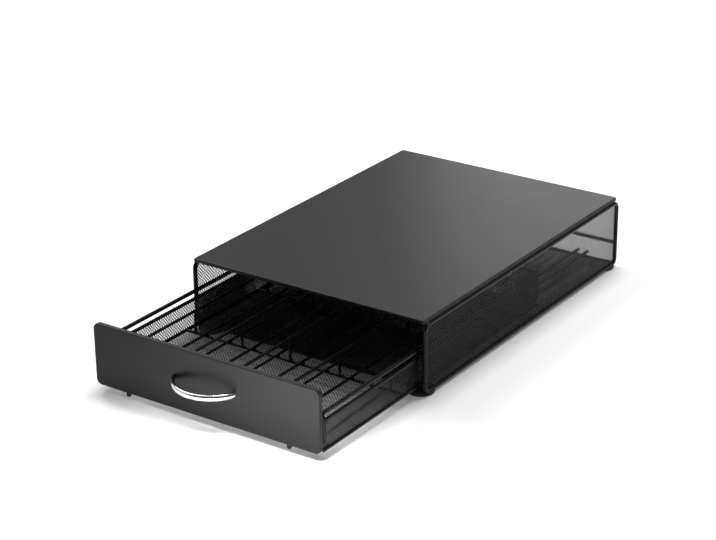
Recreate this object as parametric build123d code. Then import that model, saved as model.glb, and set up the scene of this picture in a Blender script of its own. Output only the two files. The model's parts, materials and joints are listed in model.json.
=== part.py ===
"""Coffee pod drawer: a wire drawer in a wire-and-mesh stand with a flat steel top.

Millimetres. X runs to the right, Y to the back and Z up. The stand is laid out with Y = 0 at the
front edge of its steel top and Z = 0 on the table; every piece is then moved along Y, so that the
origin lies under the middle of the whole product with the drawer pulled out as it rests here.
"""

import os
from math import sqrt

from build123d import *

# ---------------------------------------------------------------- clearances
WELD_GAP = 0.05            # between pieces that are welded or pushed together
SLIDE_GAP = 0.3            # between the drawer and what it slides on or stops against

# ---------------------------------------------------------------- stand: steel top
TOP_WIDTH = 300.0
TOP_DEPTH = 416.5
STAND_HEIGHT = 87.5        # table to the upper face of the steel top
TOP_LIP = 4.0              # height of the folded edge, with the sheet
SHEET = 0.9                # gauge of the steel top
TOP_CORNER = 2.4           # plan radius of its corners
TOP_BEND = 1.2             # outer radius of its folded edge

# ---------------------------------------------------------------- stand: wires and mesh
FRAME_WIRE = 5.0           # the two side loops
FRAME_BEND = 7.0           # corner radius of a side loop, at the wire's centre
FLOOR_LEVEL = 4.7          # centre height of the bottom rails, floor bars and floor mesh
BAR_WIRE = 4.4             # the cross bars between the side loops
FRONT_BAR_Y = 11.0
REAR_BAR_INSET = 3.5       # rear floor bar, in front of the rear posts
MID_BAR_Z = 30.2           # rear cross bar, halfway up
MESH = 0.8                 # thickness of the expanded-metal mesh
MESH_CELL_WIDTH = 44.0     # one diamond of the mesh, drawn about ten times its real size
MESH_CELL_HEIGHT = 36.0
MESH_OPEN = 0.76           # share of a diamond's width that is open, as in the real mesh
RUNNER_WIRE = 4.0          # the two pairs of wires that the drawer slides on
RUNNER_INSET = 43.75       # middle of a pair, inwards of the side loop
RUNNER_PITCH = 12.5        # between the two wires of a pair
RUNNER_OVERHANG_FRONT = 5.0
RUNNER_OVERHANG_REAR = 6.5

# ---------------------------------------------------------------- stand: rubber feet
FOOT_WIDE = 30.0
FOOT_SIDE_INSET = 11.5     # foot centre, inwards of the side loop
FOOT_FRONT_Y = 13.0
FOOT_REAR_INSET = 11.0     # foot centre, in front of the rear edge of the steel top
FOOT_ROUND = 1.0           # rounded lower edge

# ---------------------------------------------------------------- drawer: overall
PANEL_PROUD = 3.9          # front face, in front of the steel top when the drawer is shut
REST_PULL = 169.5          # how far the drawer is pulled out as it rests here
SIDE_CLEARANCE = 2.05      # rim wire to the posts that it passes between

# ---------------------------------------------------------------- drawer: front panel
PANEL_CLEARANCE = 4.0      # panel edge to the posts that it passes between
PANEL_LOW_Z = 8.7
PANEL_DROP = 8.6           # upper edge, below the upper face of the steel top
PANEL_FLANGE = 5.0         # depth of the folded edge, with the sheet
PANEL_SHEET = 1.0
PANEL_CORNER = 7.0
PANEL_BEND = 1.2
DRILL_OVERRUN = 1.0        # a hole's cutter, past the sheet at each side

# ---------------------------------------------------------------- drawer: wire frame
LOOP_WIRE = 4.5            # front and rear frames, and the rim wires
RIM_Z = 53.0
EDGE_WIRE = 4.0            # wire along the upper edge of a side mesh
EDGE_Z = 44.2
BASE_WIRE = 4.0            # wire along the lower edge of a side mesh
BASE_Z = 12.4

# ---------------------------------------------------------------- drawer: lane rack
LANES = 4
LANE_SIDE_GAP = 15.2       # outermost hoops, inwards of the side walls
CROSS_WIRE = 3.5           # wires across the drawer floor
CROSS_COUNT = 4
CROSS_INSET = 6.0          # first and last cross wire, from the front and rear frames
HOOP_WIRE = 3.5            # bent wires that part the lanes
HOOP_TOP_Z = 40.0
HOOP_BEND = 9.0
POST_WIRE = 3.0            # short posts under the hoops
RAIL_WIRE = 3.0            # two wires along each lane, which carry what lies in it
RAIL_SPREAD = 32.0
RAIL_OVERHANG = 4.0

# ---------------------------------------------------------------- drawer: handle
HANDLE_SPAN = 75.0         # between the centres of its ends
HANDLE_RISE = 24.6         # centre of the bow, in front of the panel
HANDLE_Z = 45.0
HANDLE_TALL = 6.3          # oval section at the middle of the bow
HANDLE_THICK = 4.3
HANDLE_END_TALL = 7.3      # oval section at its ends
HANDLE_END_THICK = 6.0
HANDLE_OVERRUN = 4.0       # degrees of bow past the panel face, cut off flush
SCREW = 3.0
SCREW_INSET = 0.6          # screw centre, inwards of the end's centre
SCREW_REACH = 4.0          # length of screw in the handle
SCREW_HOLE_GAP = 0.2
SCREW_HEAD = 6.0
SCREW_HEAD_TALL = 2.2
SCREW_HEAD_ROUND = 0.9

# ---------------------------------------------------------------- drawer: feet and glides
BUMPER_INSET = 40.5        # bumper centre, inwards of the panel's edge
BUMPER_SETBACK = 4.0       # bumper centre, behind the panel's front face
BUMPER_WIDE = 5.0
BUMPER_LOW_Z = 3.0
BUMPER_NECK = 2.6
BUMPER_HEAD = 3.8
BUMPER_HEAD_TALL = 0.9
BUMPER_ROUND = 1.8
GLIDE_WIDE = 6.5
GLIDE_LONG = 16.0
GLIDE_LOW_Z = 7.5
GLIDE_SETBACK = 12.0       # glide centre, in front of the rear frame
GLIDE_CORNER = 2.0
GLIDE_EDGE = 0.8           # bevel of its lower edge

# ---------------------------------------------------------------- worked-out places
RAIL_X = TOP_WIDTH / 2                                  # side loops, under the lip
TOP_RAIL_Z = STAND_HEIGHT - TOP_LIP - WELD_GAP - FRAME_WIRE / 2
FRONT_POST_Y = FRAME_WIRE / 2
REAR_POST_Y = TOP_DEPTH
REAR_BAR_Y = REAR_POST_Y - REAR_BAR_INSET
BAR_REACH = RAIL_X - FRAME_WIRE / 2 - WELD_GAP          # half length of the cross bars
RUNNER_X = RAIL_X - RUNNER_INSET
RUNNER_Z = FLOOR_LEVEL + BAR_WIRE / 2 + WELD_GAP + RUNNER_WIRE / 2
RUNNER_TOP = RUNNER_Z + RUNNER_WIRE / 2
RUNNER_REAR_Y = REAR_BAR_Y + RUNNER_OVERHANG_REAR
FOOT_TOP = FLOOR_LEVEL - MESH / 2 - WELD_GAP
FOOT_X = RAIL_X - FOOT_SIDE_INSET
FOOT_REAR_Y = TOP_DEPTH - FOOT_REAR_INSET

LOOP_R = LOOP_WIRE / 2
POST_INNER_X = RAIL_X - FRAME_WIRE / 2
DRAWER_SIDE_X = POST_INNER_X - SIDE_CLEARANCE - LOOP_R  # side walls, at the centre of their wires
LANE_PITCH = 2 * (DRAWER_SIDE_X - LANE_SIDE_GAP) / LANES
DRAWER_BACK = REAR_POST_Y - BAR_WIRE / 2 - SLIDE_GAP - REST_PULL
PANEL_Y = -PANEL_PROUD - REST_PULL                      # front face of the panel
PANEL_BACK = PANEL_Y + PANEL_SHEET
PANEL_WIDTH = 2 * (POST_INNER_X - PANEL_CLEARANCE)
PANEL_HIGH_Z = STAND_HEIGHT - PANEL_DROP
BUMPER_X = PANEL_WIDTH / 2 - BUMPER_INSET
FRONT_LOOP_Y = PANEL_Y + PANEL_FLANGE + WELD_GAP + LOOP_R
REAR_LOOP_Y = DRAWER_BACK - LOOP_R
LOOP_LOW_Z = RUNNER_TOP + SLIDE_GAP + LOOP_R
DRAWER_FLOOR_Z = RUNNER_TOP + SLIDE_GAP + MESH / 2      # centre of the drawer's floor mesh
INNER_FRONT = FRONT_LOOP_Y + LOOP_R + WELD_GAP
INNER_REAR = REAR_LOOP_Y - LOOP_R - WELD_GAP
CROSS_Z = DRAWER_FLOOR_Z + MESH / 2 + WELD_GAP + CROSS_WIRE / 2
CROSS_TOP = CROSS_Z + CROSS_WIRE / 2 + WELD_GAP
BOW_RADIUS = (HANDLE_SPAN ** 2 / 4 + HANDLE_RISE ** 2) / (2 * HANDLE_RISE)
BOW_CENTRE_Y = PANEL_Y - HANDLE_RISE + BOW_RADIUS
SCREW_X = HANDLE_SPAN / 2 - SCREW_INSET

FRONT_REACH = PANEL_Y - HANDLE_RISE - HANDLE_THICK / 2
REAR_REACH = max(RUNNER_REAR_Y, REAR_POST_Y + FRAME_WIRE / 2, FOOT_REAR_Y + FOOT_WIDE / 2)
ORIGIN_Y = (FRONT_REACH + REAR_REACH) / 2


# ---------------------------------------------------------------- wires, sheets and trays
def rod(start, end, diameter):
    """A straight round wire between two points."""
    axis = Vector(*end) - Vector(*start)
    return extrude(Plane(origin=start, z_dir=axis) * Circle(diameter / 2), amount=axis.length)


def bent_wire(path, diameter):
    """A round wire that follows a path of straight runs and bends."""
    start = Plane(origin=path @ 0, z_dir=path % 0)
    return sweep(start * Circle(diameter / 2), path=path)


def side_loop(side, diameter):
    """The closed loop at one side of the stand: two rails and two posts in one bent wire."""
    x = side * RAIL_X
    corners = [
        (x, FRONT_POST_Y, FLOOR_LEVEL),
        (x, REAR_POST_Y, FLOOR_LEVEL),
        (x, REAR_POST_Y, TOP_RAIL_Z),
        (x, FRONT_POST_Y, TOP_RAIL_Z),
    ]
    return bent_wire(FilletPolyline(*corners, radius=FRAME_BEND, close=True), diameter)


def nesting_radius(drop, reach):
    """Corner radius of a loop that lets a wire touch the outside of its corner.

    The wire's centre lies drop below (or above) the sharp corner of the loop's centre line, and
    reach is the distance between the two centre lines where they touch.
    """
    slack = reach - drop
    return slack + sqrt(slack ** 2 + reach ** 2 - drop ** 2)


def drawer_loop(y):
    """The closed wire frame across the drawer, whose corners nest the rim and base wires."""
    high = nesting_radius(0, LOOP_WIRE + WELD_GAP)
    low = nesting_radius(LOOP_LOW_Z - BASE_Z, LOOP_R + BASE_WIRE / 2 + WELD_GAP)
    corners = [
        (-DRAWER_SIDE_X, y, LOOP_LOW_Z),
        (DRAWER_SIDE_X, y, LOOP_LOW_Z),
        (DRAWER_SIDE_X, y, RIM_Z),
        (-DRAWER_SIDE_X, y, RIM_Z),
    ]
    path = FilletPolyline(*corners, radius=[low, low, high, high], close=True)
    return bent_wire(path, LOOP_WIRE)


def mesh_sheet(plane, width, height, corner=0.0):
    """A flat piece of expanded metal: a sheet with staggered rows of diamond openings."""
    outline = RectangleRounded(width, height, corner) if corner else Rectangle(width, height)
    across, up = max(1, round(width / MESH_CELL_WIDTH)), max(1, round(height / MESH_CELL_HEIGHT))
    long, short = width / across, height / up
    half_long, half_short = MESH_OPEN * long / 2, MESH_OPEN * short / 2
    opening = Polyline(
        (half_long, 0), (0, half_short), (-half_long, 0), (0, -half_short), close=True
    ).wire()
    centres = GridLocations(long, short, across, up).locations
    if across > 1 and up > 1:
        centres += GridLocations(long, short, across - 1, up - 1).locations
    openwork = Face(outline.face().outer_wire(), [centre * opening for centre in centres])
    return extrude(plane.offset(-MESH / 2) * openwork, amount=MESH)


def tray(width, height, depth, gauge, corner, bend):
    """A pressed sheet with a folded edge all round; its outer face lies on Z = 0, facing up."""
    outer = Pos(0, 0, -depth) * extrude(RectangleRounded(width, height, corner), amount=depth)
    outer = fillet(outer.faces().sort_by(Axis.Z)[-1].edges(), bend)
    hollow = RectangleRounded(width - 2 * gauge, height - 2 * gauge, corner - gauge)
    return outer - Pos(0, 0, -depth) * extrude(hollow, amount=depth - gauge)


# ---------------------------------------------------------------- the stand
def top_panel():
    pressed = tray(TOP_WIDTH, TOP_DEPTH, TOP_LIP, SHEET, TOP_CORNER, TOP_BEND)
    return Pos(0, TOP_DEPTH / 2, STAND_HEIGHT) * pressed


def side_mesh(side):
    """The mesh that fills a side loop."""
    inset = FRAME_WIRE + 2 * WELD_GAP
    length = REAR_POST_Y - FRONT_POST_Y - inset
    height = TOP_RAIL_Z - FLOOR_LEVEL - inset
    middle = ((REAR_POST_Y + FRONT_POST_Y) / 2, (TOP_RAIL_Z + FLOOR_LEVEL) / 2)
    plane = Plane(origin=(side * RAIL_X, *middle), x_dir=(0, 1, 0), z_dir=(1, 0, 0))
    return mesh_sheet(plane, length, height, FRAME_BEND - inset / 2)


def floor_mesh():
    front = FRONT_BAR_Y + BAR_WIRE / 2 + WELD_GAP
    rear = REAR_BAR_Y - BAR_WIRE / 2 - WELD_GAP
    plane = Plane(origin=(0, (front + rear) / 2, FLOOR_LEVEL))
    return mesh_sheet(plane, 2 * BAR_REACH, rear - front)


def cross_bar(y, z):
    """A bar between the two side loops."""
    return rod((-BAR_REACH, y, z), (BAR_REACH, y, z), BAR_WIRE)


def runner_pair(side):
    """Two straight wires, lying on the floor bars, that the drawer slides on."""
    front = FRONT_BAR_Y - RUNNER_OVERHANG_FRONT
    places = [side * RUNNER_X - RUNNER_PITCH / 2, side * RUNNER_X + RUNNER_PITCH / 2]
    return Compound([
        rod((x, front, RUNNER_Z), (x, RUNNER_REAR_Y, RUNNER_Z), RUNNER_WIRE) for x in places
    ])


def foot(side, y):
    """A round rubber pad, grooved for the bottom rail and the floor bar that it clips under."""
    pad = Pos(side * FOOT_X, y, FOOT_TOP / 2) * Cylinder(FOOT_WIDE / 2, FOOT_TOP)
    pad = fillet(pad.edges().group_by(Axis.Z)[0], FOOT_ROUND)
    x = side * RAIL_X
    ends = (x, 0, FLOOR_LEVEL), (x, REAR_POST_Y, FLOOR_LEVEL)
    pad -= rod(*ends, FRAME_WIRE + 2 * WELD_GAP)
    for bar_y in (FRONT_BAR_Y, REAR_BAR_Y):
        ends = (-RAIL_X, bar_y, FLOOR_LEVEL), (RAIL_X, bar_y, FLOOR_LEVEL)
        pad -= rod(*ends, BAR_WIRE + 2 * WELD_GAP)
    return pad


# ---------------------------------------------------------------- the drawer's front
def front_panel():
    """The pressed front, with two holes for the handle screws and two for the bumpers."""
    height = PANEL_HIGH_Z - PANEL_LOW_Z
    pressed = tray(PANEL_WIDTH, height, PANEL_FLANGE, PANEL_SHEET, PANEL_CORNER, PANEL_BEND)
    plane = Plane(
        origin=(0, PANEL_Y, (PANEL_LOW_Z + PANEL_HIGH_Z) / 2), x_dir=(1, 0, 0), z_dir=(0, -1, 0)
    )
    panel = plane.location * pressed
    for side in (-1, 1):
        x = side * SCREW_X
        hole = SCREW + 2 * SCREW_HOLE_GAP
        near, far = PANEL_Y - DRILL_OVERRUN, PANEL_BACK + DRILL_OVERRUN
        panel -= rod((x, near, HANDLE_Z), (x, far, HANDLE_Z), hole)
        x, y = side * BUMPER_X, PANEL_Y + BUMPER_SETBACK
        low, high = PANEL_LOW_Z - DRILL_OVERRUN, PANEL_LOW_Z + PANEL_SHEET + DRILL_OVERRUN
        panel -= rod((x, y, low), (x, y, high), BUMPER_NECK + 2 * WELD_GAP)
    return panel


def handle():
    """The cast bow: an oval section, taller in the middle and thicker at the ends."""
    reach = degrees_to_panel() + HANDLE_OVERRUN
    path = CenterArc((0, BOW_CENTRE_Y, HANDLE_Z), BOW_RADIUS, -90 - reach, 2 * reach)
    sections = []
    for place, tall, thick in (
        (0.0, HANDLE_END_TALL, HANDLE_END_THICK),
        (0.5, HANDLE_TALL, HANDLE_THICK),
        (1.0, HANDLE_END_TALL, HANDLE_END_THICK),
    ):
        across = Plane(origin=path @ place, x_dir=(0, 0, 1), z_dir=path % place)
        sections.append(across * Ellipse(tall / 2, thick / 2))
    bow = sweep(sections, path=path, multisection=True)
    behind = Pos(0, PANEL_Y - WELD_GAP, HANDLE_Z) * Box(
        2 * HANDLE_SPAN, BOW_RADIUS, 4 * HANDLE_TALL, align=(Align.CENTER, Align.MIN, Align.CENTER)
    )
    bow -= behind
    for side in (-1, 1):
        x = side * SCREW_X
        depth = PANEL_Y - SCREW_REACH - WELD_GAP
        bow -= rod((x, PANEL_Y, HANDLE_Z), (x, depth, HANDLE_Z), SCREW + 2 * WELD_GAP)
    return bow


def degrees_to_panel():
    """Half of the bow's arc, from its middle to the panel face, in degrees."""
    to_middle = Vector(0, -1)
    to_end = Vector(HANDLE_SPAN / 2, PANEL_Y - BOW_CENTRE_Y)
    return to_middle.get_angle(to_end)


def handle_screws():
    """Two pan-head screws, put in from inside the drawer."""
    seat = PANEL_BACK + WELD_GAP
    screws = []
    for side in (-1, 1):
        x = side * SCREW_X
        head = rod((x, seat, HANDLE_Z), (x, seat + SCREW_HEAD_TALL, HANDLE_Z), SCREW_HEAD)
        head = fillet(head.edges().group_by(Axis.Y)[-1], SCREW_HEAD_ROUND)
        shank = rod((x, PANEL_Y - SCREW_REACH, HANDLE_Z), (x, seat, HANDLE_Z), SCREW)
        screws.append(head + shank)
    return Compound(screws)


def panel_bumpers():
    """Two rubber bumpers, pushed up through the lower edge of the panel."""
    under = PANEL_LOW_Z - WELD_GAP
    over = PANEL_LOW_Z + PANEL_SHEET + WELD_GAP
    bumpers = []
    for side in (-1, 1):
        x, y = side * BUMPER_X, PANEL_Y + BUMPER_SETBACK
        body = rod((x, y, BUMPER_LOW_Z), (x, y, under), BUMPER_WIDE)
        body = fillet(body.edges().group_by(Axis.Z)[0], BUMPER_ROUND)
        neck = rod((x, y, under), (x, y, over), BUMPER_NECK)
        head = rod((x, y, over), (x, y, over + BUMPER_HEAD_TALL), BUMPER_HEAD)
        bumpers.append(body + neck + head)
    return Compound(bumpers)


# ---------------------------------------------------------------- the drawer's basket
def side_wire(side, z, diameter, front, rear):
    """A wire along one side of the drawer."""
    x = side * DRAWER_SIDE_X
    return rod((x, front, z), (x, rear, z), diameter)


def rim_wire(side):
    """The top wire, which passes outside the rounded corners of both frames."""
    return side_wire(side, RIM_Z, LOOP_WIRE, FRONT_LOOP_Y - LOOP_R, DRAWER_BACK)


def base_wire(side):
    return side_wire(side, BASE_Z, BASE_WIRE, FRONT_LOOP_Y - LOOP_R, DRAWER_BACK)


def edge_wire(side):
    """The wire along the upper edge of the side mesh, between the two frames."""
    return side_wire(side, EDGE_Z, EDGE_WIRE, INNER_FRONT, INNER_REAR)


def drawer_side_mesh(side):
    low = BASE_Z + BASE_WIRE / 2 + WELD_GAP
    high = EDGE_Z - EDGE_WIRE / 2 - WELD_GAP
    middle = ((INNER_FRONT + INNER_REAR) / 2, (low + high) / 2)
    plane = Plane(origin=(side * DRAWER_SIDE_X, *middle), x_dir=(0, 1, 0), z_dir=(1, 0, 0))
    return mesh_sheet(plane, INNER_REAR - INNER_FRONT, high - low)


def drawer_rear_mesh():
    """The mesh that fills the rear frame."""
    inset = LOOP_WIRE + 2 * WELD_GAP
    corner = nesting_radius(0, LOOP_WIRE + WELD_GAP) - inset / 2
    plane = Plane(
        origin=(0, REAR_LOOP_Y, (LOOP_LOW_Z + RIM_Z) / 2), x_dir=(1, 0, 0), z_dir=(0, -1, 0)
    )
    return mesh_sheet(plane, 2 * DRAWER_SIDE_X - inset, RIM_Z - LOOP_LOW_Z - inset, corner)


def drawer_floor_mesh():
    half = DRAWER_SIDE_X - BASE_WIRE / 2 - WELD_GAP
    plane = Plane(origin=(0, (INNER_FRONT + INNER_REAR) / 2, DRAWER_FLOOR_Z))
    return mesh_sheet(plane, 2 * half, INNER_REAR - INNER_FRONT)


def drawer_glides():
    """Two plastic tongues under the floor, which keep the drawer between its runner wires."""
    top = DRAWER_FLOOR_Z - MESH / 2 - WELD_GAP
    glides = []
    outline = RectangleRounded(GLIDE_WIDE, GLIDE_LONG, GLIDE_CORNER)
    for side in (-1, 1):
        tongue = extrude(outline, amount=top - GLIDE_LOW_Z)
        tongue = chamfer(tongue.edges().group_by(Axis.Z)[0], GLIDE_EDGE)
        glides.append(Pos(side * RUNNER_X, REAR_LOOP_Y - GLIDE_SETBACK, GLIDE_LOW_Z) * tongue)
    return Compound(glides)


# ---------------------------------------------------------------- the lane rack
def cross_places():
    """Where the cross wires lie, from front to back."""
    first = INNER_FRONT + CROSS_INSET
    step = (INNER_REAR - CROSS_INSET - first) / (CROSS_COUNT - 1)
    return [first + step * number for number in range(CROSS_COUNT)]


def hoop_places():
    """Where the hoops stand, from left to right: one at each side of every lane."""
    return [(number - LANES / 2) * LANE_PITCH for number in range(LANES + 1)]


def floor_cross_wires():
    half = DRAWER_SIDE_X - BASE_WIRE / 2 - WELD_GAP
    return Compound([rod((-half, y, CROSS_Z), (half, y, CROSS_Z), CROSS_WIRE) for y in cross_places()])


def lane_hoop(x):
    """A bent wire that stands on the first and last cross wires and parts two lanes."""
    front, rear = cross_places()[0], cross_places()[-1]
    path = FilletPolyline(
        (x, front, CROSS_TOP), (x, front, HOOP_TOP_Z), (x, rear, HOOP_TOP_Z), (x, rear, CROSS_TOP),
        radius=HOOP_BEND,
    )
    return bent_wire(path, HOOP_WIRE)


def hoop_posts():
    """Short posts that hold each hoop up on the cross wires between its ends."""
    high = HOOP_TOP_Z - HOOP_WIRE / 2 - WELD_GAP
    return Compound([
        rod((x, y, CROSS_TOP), (x, y, high), POST_WIRE)
        for x in hoop_places() for y in cross_places()[1:-1]
    ])


def lane_rails():
    """Two wires along each lane, lying on the cross wires."""
    z = CROSS_TOP + RAIL_WIRE / 2
    front, rear = cross_places()[0] - RAIL_OVERHANG, cross_places()[-1] + RAIL_OVERHANG
    middles = [(left + right) / 2 for left, right in zip(hoop_places(), hoop_places()[1:])]
    return Compound([
        rod((x + half, front, z), (x + half, rear, z), RAIL_WIRE)
        for x in middles for half in (-RAIL_SPREAD / 2, RAIL_SPREAD / 2)
    ])


# ---------------------------------------------------------------- all pieces, by name
def pieces():
    """Every piece of the product, under the name that a person would give it."""
    found = {
        "top_panel": top_panel(),
        "floor_mesh": floor_mesh(),
        "front_floor_bar": cross_bar(FRONT_BAR_Y, FLOOR_LEVEL),
        "rear_floor_bar": cross_bar(REAR_BAR_Y, FLOOR_LEVEL),
        "rear_mid_bar": cross_bar(REAR_POST_Y, MID_BAR_Z),
        "drawer_front_panel": front_panel(),
        "handle": handle(),
        "handle_screws": handle_screws(),
        "panel_bumpers": panel_bumpers(),
        "drawer_front_frame": drawer_loop(FRONT_LOOP_Y),
        "drawer_rear_frame": drawer_loop(REAR_LOOP_Y),
        "drawer_rear_mesh": drawer_rear_mesh(),
        "drawer_floor_mesh": drawer_floor_mesh(),
        "drawer_glides": drawer_glides(),
        "floor_cross_wires": floor_cross_wires(),
        "hoop_posts": hoop_posts(),
        "lane_rails": lane_rails(),
    }
    for name, side in (("left", -1), ("right", 1)):
        found[f"side_frame_{name}"] = side_loop(side, FRAME_WIRE)
        found[f"side_mesh_{name}"] = side_mesh(side)
        found[f"runner_wires_{name}"] = runner_pair(side)
        found[f"foot_front_{name}"] = foot(side, FOOT_FRONT_Y)
        found[f"foot_rear_{name}"] = foot(side, FOOT_REAR_Y)
        found[f"drawer_rim_wire_{name}"] = rim_wire(side)
        found[f"mesh_edge_wire_{name}"] = edge_wire(side)
        found[f"drawer_base_wire_{name}"] = base_wire(side)
        found[f"drawer_side_mesh_{name}"] = drawer_side_mesh(side)
    for number, x in enumerate(hoop_places(), start=1):
        found[f"lane_hoop_{number}"] = lane_hoop(x)
    return found


os.makedirs("parts", exist_ok=True)
for name, shape in pieces().items():
    export_step(Pos(0, -ORIGIN_Y, 0) * shape, f"parts/{name}.step")
print(f"origin {ORIGIN_Y:.3f} mm behind the front edge of the steel top")
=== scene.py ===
# %% [markdown]
# # A coffee pod drawer in powder-coated wire and mesh
#
# The object is a low stand of bent wire, with a pressed steel top and a drawer under it. Its
# solid parts come ready made from the CAD model, so this lesson is about three things: what
# each finish is made of, how the fine metal mesh is built, and how the studio is lit.

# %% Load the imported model
import json
import math

import bmesh
import bpy
import numpy as np
from mathutils import Matrix, Vector

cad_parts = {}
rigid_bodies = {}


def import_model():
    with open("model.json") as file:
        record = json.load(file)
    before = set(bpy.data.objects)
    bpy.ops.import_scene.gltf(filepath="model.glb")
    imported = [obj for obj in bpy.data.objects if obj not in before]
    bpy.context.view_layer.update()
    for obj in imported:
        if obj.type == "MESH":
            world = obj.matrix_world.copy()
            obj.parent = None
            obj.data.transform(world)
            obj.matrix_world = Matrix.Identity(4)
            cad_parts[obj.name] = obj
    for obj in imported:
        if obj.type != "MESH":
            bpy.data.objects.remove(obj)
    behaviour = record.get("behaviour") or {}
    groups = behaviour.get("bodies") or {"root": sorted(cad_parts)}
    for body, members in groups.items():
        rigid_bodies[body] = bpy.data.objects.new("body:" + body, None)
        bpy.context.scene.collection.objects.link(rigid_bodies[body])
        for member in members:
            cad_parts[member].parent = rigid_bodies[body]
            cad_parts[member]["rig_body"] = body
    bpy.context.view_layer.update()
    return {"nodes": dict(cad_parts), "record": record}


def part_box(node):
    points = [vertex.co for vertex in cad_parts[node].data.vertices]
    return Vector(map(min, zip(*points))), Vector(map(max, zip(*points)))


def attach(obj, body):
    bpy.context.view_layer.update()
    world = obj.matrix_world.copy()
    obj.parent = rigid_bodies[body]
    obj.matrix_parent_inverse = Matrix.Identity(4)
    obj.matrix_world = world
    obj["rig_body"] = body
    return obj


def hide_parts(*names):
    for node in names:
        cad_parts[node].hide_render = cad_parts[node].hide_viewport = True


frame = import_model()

bpy.context.scene.view_settings.view_transform = "Standard"

MM = 0.001
X, Y, Z = 0, 1, 2
NODES = frame["nodes"]
BODY_OF = {name: obj["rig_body"] for name, obj in NODES.items()}


# %% [markdown]
# ## The camera
#
# The photograph was taken from the right of the drawer, a little above it, with a long lens.
# The numbers below put the camera back in that place. A long lens keeps the edges of the top
# almost parallel, so a wrong lens shows at once at the far corner.

# %% Camera
CAMERA_AZIMUTH = math.radians(34.807)
CAMERA_ELEVATION = math.radians(23.264)
CAMERA_ROLL = math.radians(-0.607)
CAMERA_LENS = 103.376        # mm, for the sensor width below
SENSOR_WIDTH = 36.0
CAMERA_FROM_TOP_EDGE = Vector((1180.41, -1598.0, 962.10)) * MM   # from the top's front edge
CLIP_NEAR, CLIP_FAR = 0.05, 50       # metres

look = Vector((-math.sin(CAMERA_AZIMUTH) * math.cos(CAMERA_ELEVATION),
               math.cos(CAMERA_AZIMUTH) * math.cos(CAMERA_ELEVATION),
               -math.sin(CAMERA_ELEVATION)))
level_right = look.cross(Vector((0, 0, 1))).normalized()
level_up = level_right.cross(look)
turn_c, turn_s = math.cos(CAMERA_ROLL), math.sin(CAMERA_ROLL)
right = turn_c * level_right + turn_s * level_up
up = -turn_s * level_right + turn_c * level_up

camera_data = bpy.data.cameras.new("photo_camera")
camera_data.sensor_fit = "HORIZONTAL"
camera_data.sensor_width = SENSOR_WIDTH
camera_data.lens = CAMERA_LENS
camera_data.clip_start = CLIP_NEAR
camera_data.clip_end = CLIP_FAR
camera = bpy.data.objects.new("photo_camera", camera_data)
bpy.context.scene.collection.objects.link(camera)
top_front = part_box("top_panel")[0].y
place = CAMERA_FROM_TOP_EDGE + Vector((0, top_front, 0))
camera.matrix_world = Matrix.Translation(place) @ Matrix(
    (right, up, -look)).transposed().to_4x4()
bpy.context.scene.camera = camera
print("camera at", [round(v, 4) for v in place], "m")

# %% [markdown]
# ## Small helpers for materials
#
# Colours are written as sRGB hex values, as a paint card gives them, and Blender calculates
# in linear light. One function turns the first into the second. A second one adds a shader
# node, sets its values and links its inputs, so each material below reads like a recipe.

# %% Helpers
def linear(hex_colour):
    """An sRGB hex colour as the linear RGBA that shader sockets take."""
    values = [int(hex_colour[i:i + 2], 16) / 255 for i in (1, 3, 5)]
    return [v / 12.92 if v <= 0.04045 else ((v + 0.055) / 1.055) ** 2.4
            for v in values] + [1.0]


def add(tree, kind, settings=None, **inputs):
    """A new node. Its inputs go by name, or by place as i0, i1; (node, output) makes a link."""
    node = tree.nodes.new(kind)
    for key, value in (settings or {}).items():
        setattr(node, key, value)
    for key, value in inputs.items():
        by_place = key[0] == "i" and key[1:].isdigit()
        socket = node.inputs[int(key[1:]) if by_place else key.replace("_", " ")]
        if isinstance(value, tuple):
            tree.links.new(value[0].outputs[value[1]], socket)
        else:
            socket.default_value = value
    return node


def new_material(name):
    """An empty node material with its Principled shader."""
    material = bpy.data.materials.new(name)
    material.use_nodes = True
    tree = material.node_tree
    tree.nodes.clear()
    shader = tree.nodes.new("ShaderNodeBsdfPrincipled")
    output = tree.nodes.new("ShaderNodeOutputMaterial")
    tree.links.new(shader.outputs["BSDF"], output.inputs["Surface"])
    return material, tree, shader


def per_mm(size):
    """The scale of a noise texture whose features are about `size` millimetres."""
    return 1 / (size * MM)


# %% [markdown]
# ## Powder coat
#
# The sheets and wires are steel with a black polyester powder coat, sprayed on as dust and
# baked until it flows. It is not paint-smooth: the film keeps a faint orange peel, with waves
# a millimetre or two wide. An image of a painted panel could show that, but its scale would be
# fixed and it would stretch over the bends, so here two noise textures make it, one for the
# slow drift of colour and gloss and one for the peel. On black the diffuse colour is nearly
# nothing, so what the eye reads is the gloss. The roughness and its small changes matter more
# than the colour.

# %% Powder coat on sheet and wire
COAT_IOR = 1.5
DRIFT_MM = 45                # width of the patches in which colour and gloss drift
GLOSS_DRIFT = 0.012          # how far the roughness drifts to each side
DRIFT_LOW, DRIFT_HIGH = 0.3, 0.7     # the noise values that give the two ends of the drift


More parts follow.
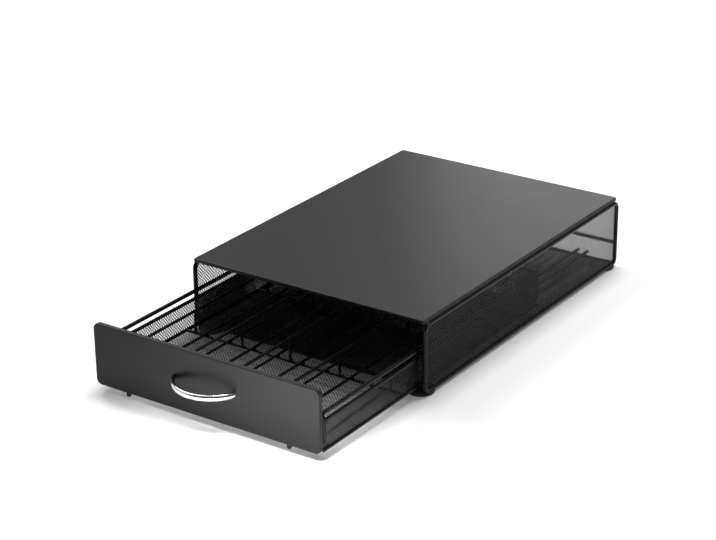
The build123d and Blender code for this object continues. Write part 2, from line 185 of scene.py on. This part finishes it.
def powder_coat(name, dark, pale, roughness, specular, peel_mm, peel_height_mm, peel_strength):
    """Black baked powder: two near blacks, a drifting gloss and an orange peel."""
    material, tree, shader = new_material(name)
    place = add(tree, "ShaderNodeTexCoord")
    drift = add(tree, "ShaderNodeTexNoise", Vector=(place, "Object"), Scale=per_mm(DRIFT_MM),
                Detail=3.0, Roughness=0.55)
    colour = add(tree, "ShaderNodeMix", {"data_type": "RGBA"}, Factor=(drift, "Fac"),
                 i6=linear(dark), i7=linear(pale))
    gloss = add(tree, "ShaderNodeMapRange", Value=(drift, "Fac"),
                From_Min=DRIFT_LOW, From_Max=DRIFT_HIGH,
                To_Min=roughness - GLOSS_DRIFT, To_Max=roughness + GLOSS_DRIFT)
    peel = add(tree, "ShaderNodeTexNoise", Vector=(place, "Object"), Scale=per_mm(peel_mm),
               Detail=1.5, Roughness=0.4)
    relief = add(tree, "ShaderNodeBump", Strength=peel_strength, Distance=peel_height_mm * MM,
                 Height=(peel, "Fac"))
    tree.links.new(colour.outputs[2], shader.inputs["Base Color"])
    tree.links.new(gloss.outputs["Result"], shader.inputs["Roughness"])
    tree.links.new(relief.outputs["Normal"], shader.inputs["Normal"])
    shader.inputs["IOR"].default_value = COAT_IOR
    shader.inputs["Specular IOR Level"].default_value = specular
    print("made", material.name)
    return material


COAT_TOP = powder_coat("satin_powder_coat_on_sheet_top", "#0e0e0f", "#131314",
                       roughness=0.38, specular=0.22,
                       peel_mm=1.6, peel_height_mm=0.03, peel_strength=0.25)
COAT_FRONT = powder_coat("satin_powder_coat_on_sheet_front", "#0e0e0f", "#131314",
                         roughness=0.34, specular=0.22,
                         peel_mm=1.6, peel_height_mm=0.03, peel_strength=0.2)
COAT_WIRE = powder_coat("gloss_powder_coat_on_wire", "#060607", "#0a0a0b",
                        roughness=0.2, specular=0.18,
                        peel_mm=1.2, peel_height_mm=0.02, peel_strength=0.2)
COAT_MESH = powder_coat("powder_coat_on_expanded_steel", "#060607", "#0a0a0b",
                        roughness=0.28, specular=0.18,
                        peel_mm=0.6, peel_height_mm=0.02, peel_strength=0.25)

# %% [markdown]
# ## Chrome, zinc, rubber and nylon
#
# The handle is a zinc casting with bright chrome plating, buffed along its length, so its
# reflections are sharp with the faintest drag. A noise that is stretched along the bow gives
# that drag, where real scratches in the mesh would be far too fine. The screws are zinc
# plated: duller, a little blue, and speckled. The feet and bumpers are moulded rubber, matt and
# slightly grainy, and the drawer's glides are black nylon, with the soft sheen of an injection
# mould. Those two differ only in their values, so one function makes both.

# %% Chrome-plated casting
BUFF_LONG_MM, BUFF_WIDE_MM = 14, 1.2     # a buffing mark, along the bow and across it
CHROME_SMOOTHEST, CHROME_ROUGHEST = 0.045, 0.09


def chrome_plate():
    """Bright chrome, with the drag of the buffing wheel along X."""
    material, tree, shader = new_material("bright_chrome_plate_on_casting")
    place = add(tree, "ShaderNodeTexCoord")
    buff = add(tree, "ShaderNodeMapping", Vector=(place, "Object"),
               Scale=[per_mm(BUFF_LONG_MM), per_mm(BUFF_WIDE_MM), per_mm(BUFF_WIDE_MM)])
    drag = add(tree, "ShaderNodeTexNoise", Vector=(buff, "Vector"), Scale=1.0, Detail=2.0)
    gloss = add(tree, "ShaderNodeMapRange", Value=(drag, "Fac"), From_Min=0.35, From_Max=0.65,
                To_Min=CHROME_SMOOTHEST, To_Max=CHROME_ROUGHEST)
    relief = add(tree, "ShaderNodeBump", Strength=0.08, Distance=0.01 * MM,
                 Height=(drag, "Fac"))
    tree.links.new(gloss.outputs["Result"], shader.inputs["Roughness"])
    tree.links.new(relief.outputs["Normal"], shader.inputs["Normal"])
    shader.inputs["Base Color"].default_value = linear("#dfe1e3")
    shader.inputs["Metallic"].default_value = 1.0
    print("made", material.name)
    return material


CHROME = chrome_plate()

# %% Zinc-plated screws
SPECKLE_MM = 0.8
ZINC_SMOOTHEST, ZINC_ROUGHEST = 0.26, 0.44


def zinc_plate():
    """Blue-white zinc plate: speckled in colour and in gloss."""
    material, tree, shader = new_material("zinc_plate_on_screw")
    place = add(tree, "ShaderNodeTexCoord")
    grain = add(tree, "ShaderNodeTexNoise", Vector=(place, "Object"), Scale=per_mm(SPECKLE_MM),
                Detail=4.0)
    colour = add(tree, "ShaderNodeMix", {"data_type": "RGBA"}, Factor=(grain, "Fac"),
                 i6=linear("#9a9fa6"), i7=linear("#c3c8cc"))
    gloss = add(tree, "ShaderNodeMapRange", Value=(grain, "Fac"),
                To_Min=ZINC_SMOOTHEST, To_Max=ZINC_ROUGHEST)
    tree.links.new(colour.outputs[2], shader.inputs["Base Color"])
    tree.links.new(gloss.outputs["Result"], shader.inputs["Roughness"])
    shader.inputs["Metallic"].default_value = 1.0
    print("made", material.name)
    return material


ZINC = zinc_plate()


# %% Moulded rubber and nylon
def moulded(name, dark, pale, roughness, spread, grain_mm, height_mm, ior):
    """A moulded plastic or rubber: a fine grain in colour, gloss and relief."""
    material, tree, shader = new_material(name)
    place = add(tree, "ShaderNodeTexCoord")
    grain = add(tree, "ShaderNodeTexNoise", Vector=(place, "Object"), Scale=per_mm(grain_mm),
                Detail=3.0)
    colour = add(tree, "ShaderNodeMix", {"data_type": "RGBA"}, Factor=(grain, "Fac"),
                 i6=linear(dark), i7=linear(pale))
    gloss = add(tree, "ShaderNodeMapRange", Value=(grain, "Fac"),
                To_Min=roughness - spread, To_Max=roughness + spread)
    relief = add(tree, "ShaderNodeBump", Strength=0.5, Distance=height_mm * MM,
                 Height=(grain, "Fac"))
    tree.links.new(colour.outputs[2], shader.inputs["Base Color"])
    tree.links.new(gloss.outputs["Result"], shader.inputs["Roughness"])
    tree.links.new(relief.outputs["Normal"], shader.inputs["Normal"])
    shader.inputs["IOR"].default_value = ior
    print("made", material.name)
    return material


RUBBER = moulded("moulded_rubber", "#0f0f10", "#19191a", roughness=0.72, spread=0.08,
                 grain_mm=0.7, height_mm=0.04, ior=1.52)
NYLON = moulded("moulded_nylon", "#151516", "#1c1c1d", roughness=0.42, spread=0.05,
                grain_mm=1.0, height_mm=0.02, ior=1.53)

# %% [markdown]
# ## Which node wears what
#
# The CAD model names a material slot for each node. A table from slot to finish dresses all
# of them at once, and a node that is added later gets its finish without another line.

# %% Dress the CAD nodes
FINISH = {"sheet_steel_top": COAT_TOP, "sheet_steel_front": COAT_FRONT,
          "steel_wire": COAT_WIRE, "expanded_metal": COAT_MESH, "chrome_handle": CHROME,
          "zinc_screws": ZINC, "rubber": RUBBER, "glide_plastic": NYLON}
SLOT_OF = {part["node"]: part["material_slot"] for part in frame["record"]["subparts"]}
for name, obj in NODES.items():
    for material_slot in obj.material_slots:
        material_slot.material = FINISH[SLOT_OF[name]]
print("dressed", len(SLOT_OF), "nodes in", len(FINISH), "finishes")

# %% [markdown]
# ## Expanded metal
#
# The mesh is one sheet of steel, slit in staggered rows and pulled until the slits open into
# diamonds, so it has no woven wires. Pulling also tips the strands, and each one turns
# a slightly different face to the light. A transparent texture would look flat from near by,
# so every opening is real: a list of diamonds, joined by strands, cut off at the wires.

# %% The pattern of the mesh
CELL_LONG = 4.15 * MM        # opening to opening, the long way of the diamond
CELL_SHORT = 3.82 * MM       # opening to opening, the short way
OPEN_SHARE = 0.76            # how much of each diamond's width is air
STRAND_THICK = 0.55 * MM
STRAND_TIP = 0.09 * MM       # how far a diamond's ends lean out of the sheet
SPARE_CELLS = 6              # half cells past the edges, so that the cuts meet metal everywhere


def diamond_sheet(long_low, long_high, short_low, short_high):
    """Vertices (long, short, depth) and faces of a sheet that covers the rectangle."""
    count_l = int((long_high - long_low) / CELL_LONG * 2) + SPARE_CELLS
    count_s = int((short_high - short_low) / CELL_SHORT * 2) + SPARE_CELLS
    start_l = (long_low + long_high) / 2 - count_l * CELL_LONG / 4
    start_s = (short_low + short_high) / 2 - count_s * CELL_SHORT / 4
    reach_l, reach_s = OPEN_SHARE * CELL_LONG / 2, OPEN_SHARE * CELL_SHORT / 2
    # the four corners of an opening: right, far, left, near, with their lean
    corners = [(reach_l, 0, STRAND_TIP), (0, reach_s, 0), (-reach_l, 0, -STRAND_TIP),
               (0, -reach_s, 0)]
    index, vertices, faces = {}, [], []
    for i in range(count_l):
        for j in range(count_s):
            if (i + j) % 2:
                continue
            index[i, j] = len(vertices)
            middle_l, middle_s = start_l + i * CELL_LONG / 2, start_s + j * CELL_SHORT / 2
            for side in (STRAND_THICK / 2, -STRAND_THICK / 2):
                vertices += [(middle_l + along, middle_s + across, side + lean)
                             for along, across, lean in corners]
    for (i, j), a in index.items():
        for k in range(4):                       # the walls of the opening
            n = (k + 1) % 4
            faces.append((a + k, a + n, a + 4 + n, a + 4 + k))
        upper, lower = index.get((i + 1, j + 1)), index.get((i + 1, j - 1))
        beyond = index.get((i + 2, j))
        for lift in (0, 4):                      # the two faces of the sheet
            pieces = []
            if upper is not None:                # strand to the upper right
                pieces.append((a + 0, upper + 3, upper + 2, a + 1))
            if lower is not None:                # strand to the lower right
                pieces.append((a + 0, a + 3, lower + 2, lower + 1))
            if None not in (upper, lower, beyond):   # the knot between four openings
                pieces.append((a + 0, lower + 1, beyond + 2, upper + 3))
            for face in pieces:
                face = tuple(v + lift for v in face)
                faces.append(face if lift == 0 else face[::-1])
    return vertices, faces


# %% Cutting a sheet to size
def cut_square(sheet_builder, low, high):
    """Cuts the sheet at the rectangle from low to high (long, short) and caps the strands."""
    for axis in (0, 1):
        for value, sign in ((low[axis], -1), (high[axis], 1)):
            point, normal = [0, 0, 0], [0, 0, 0]
            point[axis], normal[axis] = value, sign
            cut = bmesh.ops.bisect_plane(
                sheet_builder, geom=sheet_builder.verts[:] + sheet_builder.edges[:]
                + sheet_builder.faces[:], plane_co=point, plane_no=normal, clear_outer=True)
            edges = [e for e in cut["geom_cut"] if isinstance(e, bmesh.types.BMEdge)]
            bmesh.ops.holes_fill(sheet_builder, edges=edges, sides=0)


def turn_into_place(sheet_builder, axes, level):
    """Turns (long, short, depth) onto the three axes given, at `level` along the last."""
    turn = Matrix.Identity(3)
    for row in range(3):
        for column, axis in enumerate(axes):
            turn[row][column] = 1.0 if row == axis else 0.0
    move = Vector((0, 0, 0))
    move[axes[2]] = level
    bmesh.ops.transform(sheet_builder, matrix=Matrix.Translation(move) @ turn.to_4x4(),
                        verts=sheet_builder.verts[:])


def expanded_piece(name, body, low, high, flat_axis, long_axis, parts=1):
    """Expanded metal in the plane of low..high (metres); flat_axis is across the sheet."""
    short_axis = X + Y + Z - flat_axis - long_axis
    level = (low[flat_axis] + high[flat_axis]) / 2
    made = []
    edges = np.linspace(low[short_axis], high[short_axis], parts + 1)
    for k in range(parts):
        vertices, faces = diamond_sheet(low[long_axis], high[long_axis],
                                        low[short_axis], high[short_axis])
        mesh = bpy.data.meshes.new(name)
        mesh.from_pydata(vertices, [], faces)
        builder = bmesh.new()
        builder.from_mesh(mesh)
        cut_square(builder, (low[long_axis], edges[k]), (high[long_axis], edges[k + 1]))
        turn_into_place(builder, (long_axis, short_axis, flat_axis), level)
        bmesh.ops.recalc_face_normals(builder, faces=builder.faces[:])
        builder.to_mesh(mesh)
        builder.free()
        mesh.materials.append(COAT_MESH)
        piece = bpy.data.objects.new(name if parts == 1 else f"{name}_{k + 1}", mesh)
        bpy.context.scene.collection.objects.link(piece)
        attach(piece, body)
        made.append(piece)
    print(name, "triangles:", sum(len(p.vertices) - 2 for m in made for p in m.data.polygons))
    return made


# %% [markdown]
# ## Walls and floors
#
# Each sheet takes the place of a coarser one in the CAD model, so it is cut from that node's
# own box. It grows by up to a millimetre along its edges, under the wires, where the real one
# is welded on. The two floors are the largest sheets, so each is made in two halves.

# %% Mesh for the walls and floors
UNDER_WIRE = 1.0 * MM        # how far a sheet runs in under the wires that hold it
UNDER_REAR_WIRE = 0.6 * MM   # and at the drawer's rear
FLOOR_PARTS = 2


def mesh_for(node, flat_axis, long_axis, parts=1, under=UNDER_WIRE):
    """Expanded metal in place of a CAD node."""
    low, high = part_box(node)
    for axis in (X, Y, Z):
        if axis != flat_axis:
            low[axis] -= under
            high[axis] += under
    for piece in expanded_piece("expanded_" + node, BODY_OF[node], low, high, flat_axis,
                                long_axis, parts):
        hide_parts(node)


for side in ("left", "right"):
    mesh_for("side_mesh_" + side, flat_axis=X, long_axis=Z)
    mesh_for("drawer_side_mesh_" + side, flat_axis=X, long_axis=Z)
mesh_for("floor_mesh", flat_axis=Z, long_axis=X, parts=FLOOR_PARTS)
mesh_for("drawer_floor_mesh", flat_axis=Z, long_axis=X, parts=FLOOR_PARTS)
mesh_for("drawer_rear_mesh", flat_axis=Y, long_axis=Z, under=UNDER_REAR_WIRE)

# %% [markdown]
# ## Welds and mesh ends
#
# Where two wires cross, a spot welder melts them together and leaves a small round lump.
# The ends of the mesh strands leave a row of them along the posts. They could be sculpted one
# by one, but there are more than a hundred and fifty, so one function makes a squashed ball
# for each place, and the places come from the boxes of the wires themselves.

# %% Separate wires in one node
def loose_boxes(node):
    """The box (low, high) of each separate wire inside a node, in metres."""
    obj = NODES[node]
    points = np.array([obj.matrix_world @ v.co for v in obj.data.vertices])
    _, same = np.unique(np.round(points, 6), axis=0, return_inverse=True)
    edges = same.ravel()[np.array([tuple(e.vertices) for e in obj.data.edges])]
    group = np.arange(len(points))
    while True:                                  # spread the lowest number along the edges
        lowest = np.minimum(group[edges[:, 0]], group[edges[:, 1]])
        spread = group.copy()
        np.minimum.at(spread, edges[:, 0], lowest)
        np.minimum.at(spread, edges[:, 1], lowest)
        if (spread == group).all():
            break
        group = spread
    owner = group[same.ravel()]
    boxes = [(points[owner == g].min(axis=0), points[owner == g].max(axis=0))
             for g in np.unique(owner)]
    return sorted(boxes, key=lambda box: tuple(np.round((box[0] + box[1]) / 2, 5)))


def middle(box, axis):
    """The middle of a box along one axis."""
    return (box[0][axis] + box[1][axis]) / 2


# %% Small round lumps
LUMP_SEED = 7
LUMP_SMALLEST, LUMP_LARGEST = 0.85, 1.1      # no two welds are quite the same size


def lumps(name, body, places):
    """One squashed ball for each (centre in metres, half sizes in mm)."""
    rng = np.random.default_rng(LUMP_SEED)
    builder = bmesh.new()
    for centre, half in places:
        size = np.array(half) * MM * rng.uniform(LUMP_SMALLEST, LUMP_LARGEST)
        shape = Matrix.Translation(Vector(centre)) @ Matrix.Diagonal((*size, 1.0))
        bmesh.ops.create_icosphere(builder, subdivisions=2, radius=1.0, matrix=shape)
    mesh = bpy.data.meshes.new(name)
    builder.to_mesh(mesh)
    builder.free()
    mesh.shade_smooth()
    mesh.materials.append(COAT_WIRE)
    piece = bpy.data.objects.new(name, mesh)
    bpy.context.scene.collection.objects.link(piece)
    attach(piece, body)
    print(name, len(places), "lumps")


# %% [markdown]
# The sizes below are half sizes in millimetres along X, Y and Z. A weld is flat across the
# joint and about as wide as the wires that it holds.

# %% Welds on the drawer
RAIL_WELD = (2.0, 2.1, 0.9)          # a lane rail on a cross wire
CROSS_END_WELD = (1.0, 2.3, 2.1)     # the end of a cross wire
POST_WELD = (1.9, 1.9, 0.8)          # either end of a short post
HOOP_WELD = (2.2, 2.2, 0.8)          # the foot of a hoop
EDGE_END_WELD = (2.4, 0.9, 2.4)      # the end of the wire along a side mesh

cross_wires = loose_boxes("floor_cross_wires")
rails = loose_boxes("lane_rails")
posts = loose_boxes("hoop_posts")
hoops = [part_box(name) for name in sorted(NODES) if name.startswith("lane_hoop_")]
print("wires found:", len(cross_wires), "across,", len(rails), "rails,", len(posts), "posts")

on_drawer = []
for wire in cross_wires:
    y, top = middle(wire, Y), wire[1][Z]
    on_drawer += [((middle(rail, X), y, top), RAIL_WELD) for rail in rails]
    on_drawer += [((x, y, middle(wire, Z)), CROSS_END_WELD) for x in (wire[0][X], wire[1][X])]
for post in posts:
    on_drawer += [((middle(post, X), middle(post, Y), z), POST_WELD)
                  for z in (post[0][Z], post[1][Z])]
for low, high in hoops:
    radius = (high.x - low.x) / 2
    on_drawer += [((middle((low, high), X), y, low.z), HOOP_WELD)
                  for y in (low.y + radius, high.y - radius)]
for side in ("left", "right"):
    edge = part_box("mesh_edge_wire_" + side)
    on_drawer += [((middle(edge, X), y, middle(edge, Z)), EDGE_END_WELD)
                  for y in (edge[0].y, edge[1].y)]

# %% Welds and mesh ends on the stand
BAR_END_WELD = (1.0, 2.6, 2.6)       # the end of a cross bar
RUNNER_WELD = (2.3, 2.3, 0.9)        # a runner wire on a cross bar
STRAND_END = (0.8, 0.75, 1.1)        # the end of a mesh strand on a post

bars = [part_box(name) for name in ("front_floor_bar", "rear_floor_bar", "rear_mid_bar")]
floor_bars = bars[:2]
on_stand = []
for bar in bars:
    on_stand += [((x, middle(bar, Y), middle(bar, Z)), BAR_END_WELD)
                 for x in (bar[0].x, bar[1].x)]
for side in ("left", "right"):
    for wire in loose_boxes("runner_wires_" + side):
        on_stand += [((middle(wire, X), middle(bar, Y), bar[1].z), RUNNER_WELD)
                     for bar in floor_bars]
    mesh_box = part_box("side_mesh_" + side)
    count = int((mesh_box[1].z - mesh_box[0].z) / CELL_LONG)
    heights = [middle(mesh_box, Z) + (k - count / 2 + 0.5) * CELL_LONG for k in range(count)]
    on_stand += [((middle(mesh_box, X), y, z), STRAND_END)
                 for z in heights for y in (mesh_box[0].y, mesh_box[1].y)]

lumps("welds_on_drawer_wires", "drawer", on_drawer)
lumps("welds_on_stand_wires", "stand", on_stand)

# %% [markdown]
# ## The drive in the screw heads
#
# The two screws that hold the handle have pan heads with a cross drive, and the CAD screws have
# plain heads. A bump texture would shade a cross and leave the head flat, so a copy of the
# screws is really cut: two small bars are taken out of each head with a boolean modifier.

# %% Cross recess
RECESS_LONG, RECESS_WIDE, RECESS_DEEP = 3.4 * MM, 0.9 * MM, 1.1 * MM
SAME_POINT = 1e-7            # vertices closer than this are one


def recess_tool(source_node):
    """Two crossed bars, sunk into the head of each screw."""
    builder = bmesh.new()
    for box in loose_boxes(source_node):
        for angle in (0, math.pi / 2):
            shape = (Matrix.Translation((middle(box, X), box[1][Y], middle(box, Z)))
                     @ Matrix.Rotation(angle, 4, "Y")
                     @ Matrix.Diagonal((RECESS_LONG, 2 * RECESS_DEEP, RECESS_WIDE, 1)))
            bmesh.ops.create_cube(builder, size=1.0, matrix=shape)
    mesh = bpy.data.meshes.new("recess_tool")
    builder.to_mesh(mesh)
    builder.free()
    tool = bpy.data.objects.new("recess_tool", mesh)
    bpy.context.scene.collection.objects.link(tool)
    return tool


def recessed_screws():
    """A copy of the handle's screws with a cross cut into each head."""
    source = NODES["handle_screws"]
    mesh = source.data.copy()
    mesh.name = "recessed_handle_screws"
    builder = bmesh.new()
    builder.from_mesh(mesh)
    bmesh.ops.remove_doubles(builder, verts=builder.verts[:], dist=SAME_POINT)
    builder.to_mesh(mesh)
    builder.free()
    screws = bpy.data.objects.new("recessed_handle_screws", mesh)
    screws.matrix_world = source.matrix_world
    bpy.context.scene.collection.objects.link(screws)
    tool = recess_tool("handle_screws")
    cut = screws.modifiers.new("recess", "BOOLEAN")
    cut.operation, cut.solver, cut.object = "DIFFERENCE", "EXACT", tool
    cut.use_self = True
    bpy.context.view_layer.update()
    done = bpy.data.meshes.new_from_object(
        screws.evaluated_get(bpy.context.evaluated_depsgraph_get()))
    screws.modifiers.clear()
    screws.data = done
    bpy.data.objects.remove(tool)
    done.materials.clear()
    done.materials.append(ZINC)
    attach(screws, BODY_OF["handle_screws"])
    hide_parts("handle_screws")
    print("screws:", len(mesh.polygons), "faces before,", len(done.polygons), "after")


recessed_screws()

# %% [markdown]
# ## The floor
#
# The floor is pale and catches the soft shadow. The lamps stand close, so a metre or two away
# they hardly reach it. There the floor glows instead, and the glow grows with the distance.
# The camera and the reflections see that glow, and it lights nothing else.

# %% Floor
FLOOR_HALF = 6.0             # metres from the middle to each edge
FLOOR_GLOW = 0.1             # lifts the floor to white beside the object
FLOOR_GLOW_FAR = 0.95        # and where the lamps no longer reach
GLOW_STARTS, GLOW_FULL = 0.5, 1.6    # metres from the object


def pale_floor():
    """A wide pale sheet under the object, which keeps its shadow."""
    mesh = bpy.data.meshes.new("studio_floor")
    half = FLOOR_HALF
    mesh.from_pydata([(-half, -half, 0), (half, -half, 0), (half, half, 0), (-half, half, 0)],
                     [], [(0, 1, 2, 3)])
    floor = bpy.data.objects.new("studio_floor", mesh)
    bpy.context.scene.collection.objects.link(floor)
    material, tree, shader = new_material("pale_studio_floor")
    shader.inputs["Base Color"].default_value = linear("#f4f4f4")
    shader.inputs["Roughness"].default_value = 0.9
    shader.inputs["Specular IOR Level"].default_value = 0.1
    shader.inputs["Emission Color"].default_value = [1, 1, 1, 1]
    path = add(tree, "ShaderNodeLightPath")
    seen = add(tree, "ShaderNodeMath", {"operation": "MAXIMUM"}, i0=(path, "Is Camera Ray"),
               i1=(path, "Is Glossy Ray"))
    where = add(tree, "ShaderNodeNewGeometry")
    away = add(tree, "ShaderNodeVectorMath", {"operation": "LENGTH"}, i0=(where, "Position"))
    level = add(tree, "ShaderNodeMapRange", Value=(away, "Value"),
                From_Min=GLOW_STARTS, From_Max=GLOW_FULL,
                To_Min=FLOOR_GLOW, To_Max=FLOOR_GLOW_FAR)
    glow = add(tree, "ShaderNodeMath", {"operation": "MULTIPLY"}, i0=(seen, "Value"),
               i1=(level, "Result"))
    tree.links.new(glow.outputs[0], shader.inputs["Emission Strength"])
    mesh.materials.append(material)
    print("floor", 2 * FLOOR_HALF, "m wide")


pale_floor()

# %% [markdown]
# ## What the reflections see
#
# A black, half-glossy object shows its studio more than its own colour. An even white world
# would turn the chrome into a flat white shape. So reflections meet two things: a white backdrop
# behind the object, which darkens upwards, and an unlit room on the side where the photographer
# stands, bright only at its ceiling. The dark room gives the chrome something dark to mirror.
# The camera itself sees plain white, and a weak even light fills the shadows.

# %% World
SHOWN_HORIZON = 1.0          # the backdrop, low down
SHOWN_ZENITH = 0.42          # and overhead
BACKDROP_FADE = (0.02, 0.35)     # it darkens between these heights, as the Z of a direction
ROOM_DARK = 0.04             # the unlit room
CEILING_EDGE = (0.7, 0.85)   # the room turns bright between these heights
ROOM_EDGE = (-0.6, -0.15)    # going round, the room passes into the backdrop between these
ROOM_FILL = 0.22             # what lights the object from all around
TO_BACKDROP = [-math.sin(CAMERA_AZIMUTH), math.cos(CAMERA_AZIMUTH), 0]


def reflected_studio(air):
    """The node whose first output is the brightness that a reflection meets."""
    towards = add(air, "ShaderNodeTexCoord")
    height = add(air, "ShaderNodeSeparateXYZ", Vector=(towards, "Generated"))
    backdrop = add(air, "ShaderNodeMapRange", Value=(height, "Z"),
                   From_Min=BACKDROP_FADE[0], From_Max=BACKDROP_FADE[1],
                   To_Min=SHOWN_HORIZON, To_Max=SHOWN_ZENITH)
    room = add(air, "ShaderNodeMapRange", Value=(height, "Z"),
               From_Min=CEILING_EDGE[0], From_Max=CEILING_EDGE[1],
               To_Min=ROOM_DARK, To_Max=SHOWN_HORIZON)
    along = add(air, "ShaderNodeVectorMath", {"operation": "DOT_PRODUCT"},
                i0=(towards, "Generated"), i1=TO_BACKDROP)
    lit_side = add(air, "ShaderNodeMapRange", Value=(along, "Value"),
                   From_Min=ROOM_EDGE[0], From_Max=ROOM_EDGE[1], To_Min=0.0, To_Max=1.0)
    return add(air, "ShaderNodeMix", {"data_type": "FLOAT"}, i0=(lit_side, "Result"),
               i2=(room, "Result"), i3=(backdrop, "Result"))


def studio_air():
    """White for the camera, the studio for reflections, and a weak fill for the rest."""
    world = bpy.data.worlds.new("studio_air")
    world.use_nodes = True
    bpy.context.scene.world = world
    air = world.node_tree
    air.nodes.clear()
    path = add(air, "ShaderNodeLightPath")
    mirrored = add(air, "ShaderNodeMath", {"operation": "MAXIMUM"}, i0=(path, "Is Glossy Ray"),
                   i1=(path, "Is Transmission Ray"))
    lit = add(air, "ShaderNodeMix", {"data_type": "FLOAT"}, i0=(mirrored, "Value"),
              i2=ROOM_FILL, i3=(reflected_studio(air), 0))
    level = add(air, "ShaderNodeMix", {"data_type": "FLOAT"}, i0=(path, "Is Camera Ray"),
                i2=(lit, 0), i3=1.0)
    sky = add(air, "ShaderNodeBackground", Color=[1, 1, 1, 1], Strength=(level, 0))
    add(air, "ShaderNodeOutputWorld", Surface=(sky, "Background"))
    print("air: fill", ROOM_FILL, "reflections from", ROOM_DARK, "to", SHOWN_HORIZON)


studio_air()

# %% [markdown]
# ## Soft light
#
# Four soft lamps light it. A wide one overhead gives the top its even sheen. One from the left
# lays the shadow to the right. A low one adds light from behind. The last one hangs low in
# front: it lights the floor there, and the floor throws some of that light on the drawer's
# front. It is hidden from reflections, so the chrome doesn't show it.

# %% Softboxes
def softbox(name, place, aim, width, height, watts, spread=180):
    """A soft area lamp at `place`, turned to `aim`; sizes in metres, spread in degrees."""
    lamp = bpy.data.lights.new(name, "AREA")
    lamp.shape = "RECTANGLE"
    lamp.size, lamp.size_y, lamp.energy = width, height, watts
    lamp.spread = math.radians(spread)
    obj = bpy.data.objects.new(name, lamp)
    obj.location = place
    obj.rotation_euler = (Vector(aim) - Vector(place)).to_track_quat("-Z", "Y").to_euler()
    obj.visible_camera = False
    bpy.context.scene.collection.objects.link(obj)
    print(name, "of", watts, "W")
    return obj


softbox("overhead_softbox", place=(0.05, 0.45, 1.8), aim=(0, 0, 0), width=1.0, height=1.0,
        watts=27)
softbox("left_key_softbox", place=(-1.1, 0.35, 1.35), aim=(0, -0.05, 0), width=0.7, height=0.7,
        watts=13)
softbox("rear_softbox", place=(-0.45, 1.6, 0.55), aim=(0.1, 0.2, 0.08), width=0.8, height=0.8,
        watts=3.8)
front = softbox("floor_front_softbox", place=(0.11, -0.51, 0.32), aim=(0.1, -0.485, 0),
                width=0.35, height=0.3, watts=1.8, spread=58)
front.visible_glossy = False
